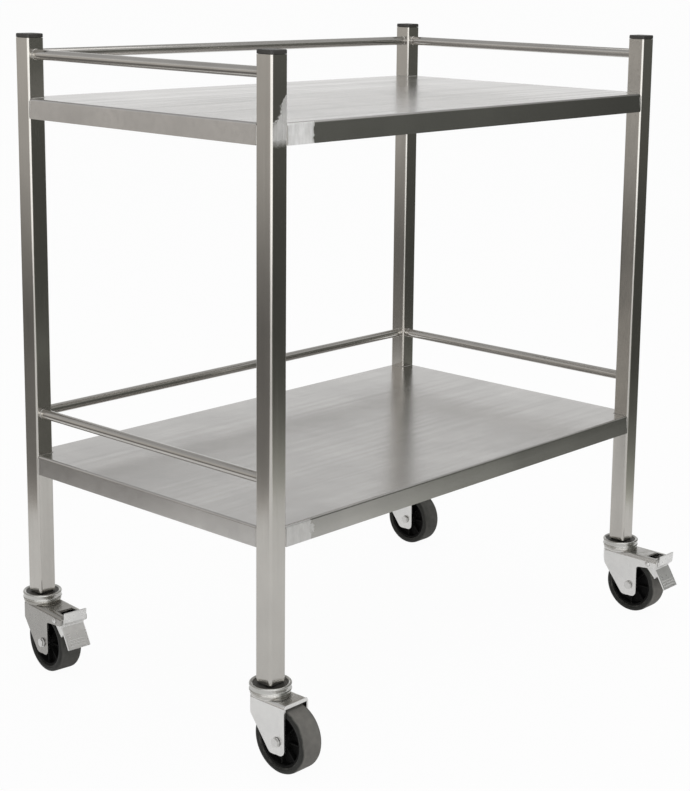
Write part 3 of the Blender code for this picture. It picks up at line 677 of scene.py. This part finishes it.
def bead(start, end, radius=BEAD_RADIUS):
    """A straight run of weld with its ripples."""
    start, end = Vector(start), Vector(end)
    length = (end - start).length
    turn = (end - start).to_track_quat("Z", "Y").to_matrix().to_4x4()
    count = int(length / RIPPLE_LENGTH)
    sides, tip = 14, radius * 0.4
    loops = [circle(tip, 0, sides)]
    for step in range(1, count):
        swell = 0.93 + 0.07 * math.sin(step * 2.1) * math.sin(step * 0.37)
        loops.append(circle(radius * swell, length * step / count, sides))
    loops.append(circle(tip, length, sides))
    return moved(skin(loops), Matrix.Translation(start) @ turn)


def build_frame():
    meshes = {"post": finished(post_piece()), "cap": finished(cap_piece())}
    for corner, (side_x, side_y) in CORNERS.items():
        at = Matrix.Translation(MIDDLE + Vector((side_x * POST_X, side_y * POST_Y, 0)))
        for name, mesh in meshes.items():
            placed = mesh.copy()
            placed.transform(at)
            piece(f"{name}.{corner}", placed, name, "frame", [f"{name}_{corner}"])
    shift = Matrix.Translation(MIDDLE)
    inner_x = POST_X - TUBE_SIDE / 2
    inner_y = POST_Y - TUBE_SIDE / 2
    for level, top in SHELF_TOPS.items():
        shelf = moved(shelf_piece(top, END_LEANS[level]), shift)
        piece(f"shelf.{level}", finished(shelf), "shelf", "frame", [level + "_shelf"])
        stiff = moved(stiffener_piece(top), shift)
        piece(f"stiffener.{level}", finished(stiff), "shelf", "frame", [level + "_stiffener"])
        height = top + RAIL_HEIGHT
        runs = {
            "left": ((-POST_X, -inner_y, height), (-POST_X, inner_y, height), "rail_y"),
            "right": ((POST_X, -inner_y, height), (POST_X, inner_y, height), "rail_y"),
            "back": ((-inner_x, POST_Y, height), (inner_x, POST_Y, height), "rail_x"),
        }
        for side, (start, end, kind) in runs.items():
            start, end = Vector(start), Vector(end)
            run = (end - start).normalized()
            rail = rail_piece(start + run * SEAT_GAP, end - run * SEAT_GAP)
            piece(f"rail.{level}.{side}", finished(moved(rail, shift)), kind, "frame",
                  [f"{level}_rail_{side}"])
            rings = merged(weld_ring(start, run), [weld_ring(end, -run)])
            piece(f"rail_weld.{level}.{side}", finished(moved(rings, shift)), "bead", "frame")
        edge_x = FRAME_LENGTH / 2 - SHELF_INSET
        edge_y = FRAME_WIDTH / 2 - SHELF_INSET
        low, high, lying = top - SHELF_EDGE_DEPTH + 0.0005, top - SHELF_BEND, top - 0.0006
        for corner, (side_x, side_y) in CORNERS.items():
            seam_x, seam_y = side_x * inner_x, side_y * inner_y
            face_x, face_y = side_x * (edge_x - 0.0002), side_y * (edge_y - 0.0002)
            runs = [
                bead((seam_x, face_y, low), (seam_x, face_y, high)),
                bead((face_x, seam_y, low), (face_x, seam_y, high)),
                bead((seam_x, seam_y, lying), (seam_x, side_y * (edge_y - SHELF_BEND), lying),
                     TOP_BEAD_RADIUS),
                bead((seam_x, seam_y, lying), (side_x * (edge_x - SHELF_BEND), seam_y, lying),
                     TOP_BEAD_RADIUS),
            ]
            welds = moved(merged(runs[0], runs[1:]), shift)
            piece(f"shelf_weld.{level}.{corner}", finished(welds), "bead", "frame")


# The castors' pieces

def cup_piece():
    """Stem, dished upper race cup with a rolled edge, and the kingpin's rivet under the crown."""
    outline = [
        (0.0, CUP_TOP + STEM_LENGTH), (0.0042, CUP_TOP + STEM_LENGTH),
        (STEM_RADIUS, CUP_TOP + 0.0252), (STEM_RADIUS, CUP_TOP),
        (0.0120, CUP_TOP), (0.0138, CUP_TOP - 0.0014),
        (0.0205, CUP_TOP - 0.0014), (0.0218, CUP_TOP - 0.0009), (0.0226, CUP_TOP - 0.0001),
        (0.0236, CUP_TOP), (0.0245, CUP_TOP - 0.0003), (CUP_RADIUS, CUP_TOP - 0.0011),
        (CUP_RADIUS, CUP_TOP - 0.0024), (0.0246, CUP_TOP - 0.0030), (0.0243, CUP_TOP - 0.0038),
        (0.0243, CROWN_TOP + 0.0022), (0.0246, CROWN_TOP + 0.0014),
        (CUP_RADIUS, CROWN_TOP + 0.0009), (CUP_RADIUS, CROWN_TOP + 0.0003),
        (0.0240, CROWN_TOP + 0.0003), (0.0232, CROWN_TOP + 0.0010),
        (0.0232, CUP_TOP - 0.0024), (STEM_RADIUS, CUP_TOP - 0.0024), (STEM_RADIUS, RIVET_TOP),
        (0.0072, RIVET_TOP), (0.0068, 0.0828), (0.0050, 0.0819), (0.0, 0.0817),
    ]
    return turned(outline, 72)


def fork_piece(braked):
    """The pressed fork: a sheet drawn round the front and creased down each leg, and the lower
    race."""
    side = LEG_INNER + FORK_SHEET / 2
    folded = PLATE_TOP - FORK_SHEET / 2
    bend, foot = 0.0042, 0.021
    arch = rounded([(-side, foot, 0), (-side, folded, bend), (side, folded, bend),
                    (side, foot, 0)], 8)
    rear = (EAR_END if braked else LEG_HEEL) - 0.003
    front = FRONT_RADIUS - FORK_SHEET / 2
    start = math.acos(side / front)
    turns = [math.pi / 2 + (start - math.pi / 2) * step / 8 for step in range(9)]
    columns = [(front * math.sin(turn), 0.0, max(0.0, front * math.cos(turn) / side))
               for turn in turns]
    columns.append((front * math.sin(start) - 0.003, 0.0, 1.0))
    columns += [(CREASE_AT + 0.0011, 0.0, 1.0), (CREASE_AT + 0.0004, 0.00025, 1.0),
                (CREASE_AT - 0.0004, 0.00055, 1.0), (CREASE_AT - 0.0012, CREASE_DEPTH, 1.0),
                (rear, CREASE_DEPTH, 1.0)]
    bm = bmesh.new()
    rows = []
    for y, inward, width in columns:
        row = []
        for x, z in arch:
            share = min(1.0, max(0.0, (folded - 0.004 - z) / 0.006))
            row.append(bm.verts.new((x * width - math.copysign(inward * share, x), y, z)))
        rows.append(row)
    for before, after in zip(rows, rows[1:]):
        for index in range(len(before) - 1):
            bm.faces.new((before[index], before[index + 1], after[index + 1], after[index]))
    bmesh.ops.remove_doubles(bm, verts=bm.verts, dist=0.00002)
    bmesh.ops.recalc_face_normals(bm, faces=bm.faces)
    sheet = thicken(from_bmesh(bm), FORK_SHEET, 0.0)
    above = PLATE_TOP + 0.001
    outline = [(FORK_FRONT, above, 0), (FORK_FRONT, FORK_FRONT_BOTTOM, 0.003),
               (LEG_TOE, LEG_BOTTOM, 0.008), (LEG_HEEL, LEG_BOTTOM, 0.008)]
    if braked:
        outline += [(LEG_HEEL, EAR_BOTTOM, 0.004), (EAR_END, EAR_BOTTOM + 0.004, 0.004),
                    (EAR_END, above, 0.006)]
    else:
        outline += [(LEG_HEEL, above, 0)]
    beyond = 0.04
    combine(sheet, [plate(rounded(outline, 10), -beyond, beyond)], "INTERSECT")
    race = turned([
        (0.0068, CROWN_TOP - 0.0015), (0.014, CROWN_TOP - 0.0015), (0.0155, CROWN_TOP - 0.0003),
        (0.0222, CROWN_TOP), (0.0235, CROWN_TOP - 0.0003), (CROWN_RADIUS, CROWN_TOP - 0.0012),
        (CROWN_RADIUS, CROWN_TOP - 0.0034), (0.0236, CROWN_TOP - 0.0042),
        (0.0232, PLATE_TOP - 0.0012), (0.0068, PLATE_TOP - 0.0012),
    ], 72, closed=True)
    parts = [race]
    if not braked:
        parts.append(block((-side, LEG_HEEL + 0.0003, PLATE_TOP - 0.005),
                           (side, LEG_HEEL + 0.0025, folded)))
    combine(sheet, parts, "UNION")
    holes = [rod(STEM_RADIUS + SEAT_GAP, (0, 0, 0.05), (0, 0, 0.12)),
             rod(AXLE_RADIUS + SEAT_GAP, (-beyond, -TRAIL, WHEEL_RADIUS),
                 (beyond, -TRAIL, WHEEL_RADIUS))]
    if braked:
        holes.append(rod(PIN_RADIUS + SEAT_GAP, (-beyond, PIVOT.y, PIVOT.z),
                         (beyond, PIVOT.y, PIVOT.z)))
        holes.append(block((-EAR_SLOT_HALF, EAR_END - 0.003, 0.082),
                           (EAR_SLOT_HALF, EAR_SLOT_START, CROWN_TOP + 0.001)))
    combine(sheet, holes, "DIFFERENCE")
    return softened(sheet, 0.0004, 2, 50)


def tyre_piece():
    """The tyre, about the axle: soft shoulders, a moulded ring on each side."""
    half, outer = WHEEL_HALF, WHEEL_RADIUS
    inner = 0.0325
    side = [
        (inner, half - 0.0015), (inner + 0.0006, half - 0.0010), (inner + 0.0012, half - 0.0006),
        (inner + 0.0019, half - 0.0006), (inner + 0.0022, half - 0.0001),
        (outer - 0.0042, half), (outer - 0.0030, half - 0.0002), (outer - 0.0017, half - 0.0008),
        (outer - 0.0008, half - 0.0018), (outer - 0.0002, half - 0.0031), (outer, half - 0.0045),
    ]
    profile = side + [(radius, -height) for radius, height in reversed(side)]
    return lay_along_x(turned(profile, 96, closed=True))


def core_piece():
    """Hub, web and rim of the wheel, with ribs on both sides of the web."""
    hub = [(0.0050, 0.0164), (0.0092, 0.0164), (0.0100, 0.0156), (0.0104, 0.0120),
           (0.0118, 0.0054), (0.0130, 0.0050), (0.0268, 0.0050), (0.0285, 0.0056),
           (0.0292, 0.0110), (0.0294, 0.0128), (0.0300, 0.0134), (0.0320, 0.0134),
           (0.0322, 0.0130)]
    profile = hub + [(radius, -height) for radius, height in reversed(hub)]
    core = turned(profile, 96, closed=True)
    ribs = []
    for index in range(RIB_COUNT):
        turn = Matrix.Rotation(2 * math.pi * index / RIB_COUNT, 4, "Z")
        rib = softened(block((0.0095, -0.0009, -0.0105), (0.0298, 0.0009, 0.0105)), 0.0003)
        ribs.append(moved(rib, turn))
    return lay_along_x(merged(core, ribs))


def hexagon(across, height):
    """A hexagon with its corners turned off at the top, standing on z = 0."""
    radius = across / math.sqrt(3)
    prism = skin([circle(radius, 0, 6), circle(radius, height, 6)])
    cone = turned([(radius * 1.3, -0.001), (radius * 1.3, height - 0.0010),
                   (across / 2 * 0.93, height + 0.0001)], 48)
    return combine(prism, [cone], "INTERSECT")


def washer(inner, seat, thickness):
    return turned([(inner, seat - 0.0002), (0.0059, seat - 0.0002), (0.0061, seat + 0.0002),
                   (0.0059, seat + thickness), (inner, seat + thickness)], 40, closed=True)


def bolt_piece():
    """Hexagon head and washer outside the left leg, shank through both legs."""
    seat = LEG_OUTER + SEAT_GAP
    head = moved(hexagon(BOLT_FLATS, BOLT_HEAD), Matrix.Translation((0, 0, seat)))
    end = -(seat + NUT_HEIGHT + BOLT_END)
    shank = turned([(0.0024, end), (AXLE_RADIUS, end + 0.0006), (AXLE_RADIUS, seat + 0.001)], 24)
    bolt = merged(head, [washer(AXLE_RADIUS, seat, 0.0007), shank])
    return moved(bolt, Matrix.Rotation(-math.pi / 2, 4, "Y"))


def nut_piece():
    """Hexagon nut with a washer under it and a collar on it, outside the right leg."""
    seat = LEG_OUTER + SEAT_GAP
    nut = moved(hexagon(BOLT_FLATS, NUT_HEIGHT), Matrix.Translation((0, 0, seat)))
    bore = rod(AXLE_RADIUS + 0.0001, (0, 0, 0), (0, 0, 0.05))
    combine(nut, [bore], "DIFFERENCE")
    inner, low, high = AXLE_RADIUS + SEAT_GAP, seat + 0.0040, seat + 0.0049
    collar = turned([(inner, low), (0.0044, low), (0.0040, high), (inner, high)], 32, closed=True)
    return lay_along_x(merged(nut, [collar, washer(inner, seat, 0.0006)]))


def pin_piece():
    seat = LEG_OUTER + SEAT_GAP
    head = [(0.0, seat + PIN_HEAD), (0.0016, seat + 0.0014), (0.0031, seat + 0.0008),
            (0.0039, seat), (PIN_RADIUS, seat)]
    return lay_along_x(turned(head + [(radius, -height) for radius, height in reversed(head)], 32))


def shoe_path():
    """The brake shoe's plate at rest, about the pivot."""
    angle, back = math.radians(SHOE_ANGLE), math.radians(-BRAKE_ANGLE)
    tread = WHEEL_RADIUS / math.cos(math.pi / TYRE_STEPS)
    outward = Vector((-math.cos(angle), math.sin(angle)))
    along = Vector((math.sin(angle), math.cos(angle)))
    pressed = Vector((AXLE.y, AXLE.z)) + outward * (tread + SHOE_GAP + BRAKE_SHEET / 2)
    pivot = Vector((PIVOT.y, PIVOT.z))
    path = []
    for distance in (0, (pivot - pressed).dot(along)):
        point = pressed + along * distance - pivot
        path.append((point.x * math.cos(back) - point.y * math.sin(back),
                     point.x * math.sin(back) + point.y * math.cos(back)))
    return path


def lever_piece():
    """The pressed brake lever about its pivot: cheeks, tab, foot tread with grip lines, shoe."""
    half, thick, eye = LEG_INNER - BRAKE_SIDE_GAP, BRAKE_SHEET, EYE_RADIUS
    shoe = shoe_path()
    path = [(y - PIVOT.y, z - PIVOT.z) for y, z in LEVER_BENDS]
    outline = rounded([
        (eye, eye, eye * 0.9), (path[1][0], eye, 0.001), (*path[1], 0), (*path[2], 0),
        (*path[3], 0), (*shoe[0], 0), (eye, -eye, eye * 0.9)], 8)
    cheeks = [softened(plate(outline, *span), 0.0003)
              for span in ((half - thick, half), (-half, thick - half))]
    body = softened(bent_strip(path, half - SEAT_GAP, thick, bend=0.0030), 0.0005)
    shoe_plate = softened(bent_strip(shoe, half - BRAKE_SIDE_GAP, thick), 0.0004)
    grips = []
    foot, toe = Vector(path[3]), Vector(path[4])
    outward = Vector(((toe - foot).y, -(toe - foot).x)).normalized()
    reach = half - 0.004
    for share in GRIP_PLACES:
        middle = foot.lerp(toe, share) + outward * (thick / 2)
        grips.append(softened(rod(0.0006, (-reach, *middle), (reach, *middle), 10), 0.0002))
    return merged(cheeks[0], [cheeks[1], body, shoe_plate] + grips)


def build_castors():
    cup = finished(cup_piece(), 50)
    forks = {True: finished(fork_piece(True)), False: finished(fork_piece(False))}
    tyre, core = finished(tyre_piece(), 50), finished(core_piece())
    bolt, nut = finished(bolt_piece()), finished(nut_piece())
    pin, lever = finished(pin_piece(), 50), finished(lever_piece())
    for corner, (side_x, side_y) in CORNERS.items():
        spot = Matrix.Translation(MIDDLE + Vector((side_x * POST_X, side_y * POST_Y, 0)))
        swivel = spot @ Matrix.Rotation(math.radians(TURNS[corner]), 4, "Z")
        axle = swivel @ Matrix.Translation(AXLE)
        pivot = swivel @ Matrix.Translation(PIVOT)
        braked = corner in BRAKED
        # The back left castor's fork takes the darker zinc copy: painted shade
        plated = "shaded_zinc" if corner == "back_left" else "zinc"
        # The back castors take the darker tyre copy: painted shade
        rubber = "tyre_shaded" if corner.startswith("back") else "tyre"
        fork_body, wheel_body = "fork_" + corner, "wheel_" + corner
        rows = [("race_cup", cup, "cup", "frame", spot),
                ("fork", forks[braked], plated, fork_body, swivel),
                ("axle_bolt", bolt, "bolt", fork_body, axle),
                ("axle_nut", nut, "bolt", fork_body, axle),
                ("tyre", tyre, rubber, wheel_body, axle),
                ("wheel_core", core, "core", wheel_body, axle)]
        if braked:
            rows += [("brake_pin", pin, "bolt", fork_body, pivot),
                     ("brake_lever", lever, "lever", "brake_" + corner, pivot)]
        for name, mesh, kind, body, place in rows:
            piece(f"{name}.{corner}", mesh.copy(), kind, body, [f"{name}_{corner}"], place)


def dress_nodes():
    """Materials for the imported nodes: those that stay seen get their neighbours' materials."""
    for name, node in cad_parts.items():
        if name.startswith("socket_"):
            kind = "cap"
        elif name.startswith(("ball_ring_", "bush_")):
            kind = "bolt"
        elif not node.hide_render:
            raise RuntimeError(name + " has no material")
        else:
            kind = "zinc"
        node.data.materials.clear()
        node.data.materials.append(MATS[kind])


# Floor, cards, light and camera

def floor_material():
    """A pale floor that glows white to the camera and less in reflections."""
    nodes = Nodes("floor_pale")
    rays = nodes.add("ShaderNodeLightPath").outputs
    mirrored = nodes.maths("ADD", rays["Is Glossy Ray"], rays["Is Transmission Ray"])
    mirrored = nodes.maths("MULTIPLY", nodes.maths("MINIMUM", mirrored, 1.0), GLOW_MIRRORED)
    seen = nodes.maths("MULTIPLY", rays["Is Camera Ray"], GLOW_SEEN)
    share = nodes.maths("MAXIMUM", seen, mirrored)
    glow = nodes.add("ShaderNodeEmission")
    glow.inputs["Color"].default_value = (1.0, 1.0, 1.0, 1.0)
    glow.inputs["Strength"].default_value = 1.0
    mix = nodes.add("ShaderNodeMixShader")
    output = nodes.tree.nodes["Material Output"]
    nodes.join(share, mix.inputs[0])
    nodes.join(nodes.shader.outputs[0], mix.inputs[1])
    nodes.join(glow.outputs[0], mix.inputs[2])
    nodes.join(mix.outputs[0], output.inputs["Surface"])
    return nodes.finish((0.86, 0.86, 0.86), 0.8)


def fill_ramp(ramp, stops, tint=(1.0, 1.0, 1.0)):
    """Colours of a ramp from (place, brightness) stops."""
    elements = ramp.color_ramp.elements
    while len(elements) < len(stops):
        elements.new(0.5)
    for element, (place, level) in zip(elements, stops):
        element.position = place
        element.color = (*(level * share for share in tint), 1.0)


def card(name, towards, near, far, height, levels, tint):
    """A card that only reflections see: flat from near to far, or upright at far when it has a
    height. Its levels are (place, brightness), by distance from the trolley or by height."""
    nodes = Nodes(name)
    start, end = levels[0][0], levels[-1][0]
    share = nodes.ranged(nodes.apart()["Z" if height else "X"], start, end, 0.0, 1.0)
    ramp = nodes.add("ShaderNodeValToRGB")
    fill_ramp(ramp, [((place - start) / (end - start), level) for place, level in levels], tint)
    glow = nodes.add("ShaderNodeEmission")
    nodes.join(share, ramp.inputs["Fac"])
    nodes.join(ramp.outputs["Color"], glow.inputs["Color"])
    nodes.join(glow.outputs[0], nodes.tree.nodes["Material Output"].inputs["Surface"])
    nodes.tree.nodes.remove(nodes.shader)
    bm = bmesh.new()
    floor = 0.002
    spots = ((far, floor), (far, height)) if height else ((near, floor), (far, floor))
    corners = [(x, y, z) for (x, z), sides in zip(spots, ((-4, 4), (4, -4))) for y in sides]
    bm.faces.new([bm.verts.new(corner) for corner in corners])
    obj = from_bmesh(bm)
    obj.name = name
    obj.data.materials.append(nodes.mat)
    turn = math.atan2(towards[1], towards[0])
    obj.matrix_world = Matrix.Translation(MIDDLE) @ Matrix.Rotation(turn, 4, "Z")
    obj.visible_camera = False
    obj.visible_diffuse = False
    obj.visible_shadow = False


def build_stage():
    bm = bmesh.new()
    bmesh.ops.create_circle(bm, cap_ends=True, segments=96, radius=400.0)
    floor = from_bmesh(bm)
    floor.name = "floor"
    floor.data.materials.append(floor_material())
    right, left = (0.75, -0.66), (-0.75, 0.66)
    warm, olive = (1.0, 0.965, 0.92), (0.98, 1.0, 0.90)
    card("card_right", right, 0.90, 2.6, 0, ((0.90, 0.60), (1.0, 0.38), (1.2, 0.24), (1.5, 0.12),
                                             (2.0, 0.07), (2.6, 0.07)), olive)
    card("card_right_wall", right, 0.90, 2.6, 1.8, ((0.0, 0.07), (0.3, 0.08), (0.5, 0.11),
                                                    (0.9, 0.14), (1.8, 0.2)), olive)
    card("card_left", left, 1.06, 2.6, 0, ((1.06, 0.58), (1.16, 0.34), (1.3, 0.22), (1.7, 0.20),
                                           (2.15, 0.18), (2.6, 0.15)), warm)
    card("card_left_wall", left, 1.06, 2.6, 1.3, ((0.0, 0.15), (0.1, 0.21), (0.25, 0.33),
                                                  (0.4, 0.48), (0.6, 0.56), (1.3, 0.6)), warm)


def build_world():
    """A studio that is white round the horizon and greyer overhead."""
    world = bpy.data.worlds.new("studio")
    bpy.context.scene.world = world
    world.use_nodes = True
    tree = world.node_tree
    coords = tree.nodes.new("ShaderNodeTexCoord")
    apart = tree.nodes.new("ShaderNodeSeparateXYZ")
    ramp = tree.nodes.new("ShaderNodeValToRGB")
    back = tree.nodes["Background"]
    tree.links.new(coords.outputs["Generated"], apart.inputs["Vector"])
    tree.links.new(apart.outputs["Z"], ramp.inputs["Fac"])
    fill_ramp(ramp, ((0.0, 1.0), (0.13, 1.0), (0.26, 0.72), (0.38, 0.54), (0.6, 0.46), (1.0, 0.5)))
    tree.links.new(ramp.outputs["Color"], back.inputs["Color"])
    back.inputs["Strength"].default_value = 1.0


def lamp(name, place, target, width, height, radiance):
    light = bpy.data.lights.new(name, "AREA")
    light.shape = "RECTANGLE"
    light.size = width
    light.size_y = height
    light.energy = radiance * math.pi * width * height
    obj = bpy.data.objects.new(name, light)
    bpy.context.scene.collection.objects.link(obj)
    obj.location = place
    obj.rotation_euler = (Vector(target) - Vector(place)).to_track_quat("-Z", "Y").to_euler()


def build_lights():
    """One soft light above, and three upright ones that reach from the floor to 1.2 m."""
    lamp("top_light", (0.1, -0.2, 2.7), (0, 0, 0.4), 2.4, 2.4, 0.9)
    for name, x, y, width, radiance in (("front_light", -2.1, -2.3, 2.2, 0.98),
                                        ("left_light", -3.3, -0.7, 1.8, 0.78),
                                        ("right_light", -0.7, -3.3, 1.8, 0.78)):
        lamp(name, (x, y, 0.62), (0, 0, 0.62), width, 1.2, radiance)


def build_camera():
    """The photograph's camera: angles in radians, focal length and optical axis in its pixels."""
    yaw, pitch, roll = 0.8491, -0.1881, 0.0165
    width, height = 690, 791
    focal, axis_x, axis_y = 1742.08, 403.35, 290.45
    sensor = 36.0
    forward = Vector((math.sin(yaw) * math.cos(pitch), math.cos(yaw) * math.cos(pitch),
                      math.sin(pitch)))
    right = Vector((math.cos(yaw), -math.sin(yaw), 0))
    up = right.cross(forward)
    level = right * math.cos(roll) + up * math.sin(roll)
    top = up * math.cos(roll) - right * math.sin(roll)
    data = bpy.data.cameras.new("camera")
    data.sensor_fit = "AUTO"
    data.sensor_width = sensor
    data.lens = sensor * focal / height
    data.shift_x = (width / 2 - axis_x) / height
    data.shift_y = (axis_y - height / 2) / height
    data.clip_end = 1000
    obj = bpy.data.objects.new("camera", data)
    bpy.context.scene.collection.objects.link(obj)
    turn = Matrix((level, top, -forward)).transposed().to_4x4()
    eye = MIDDLE + Vector((-1.68109, -1.57688, 0.92298))
    obj.matrix_world = Matrix.Translation(eye) @ turn
    bpy.context.scene.camera = obj


bpy.context.scene.view_settings.view_transform = "Standard"
build_camera()
build_frame()
build_castors()
dress_nodes()
build_stage()
build_world()
build_lights()
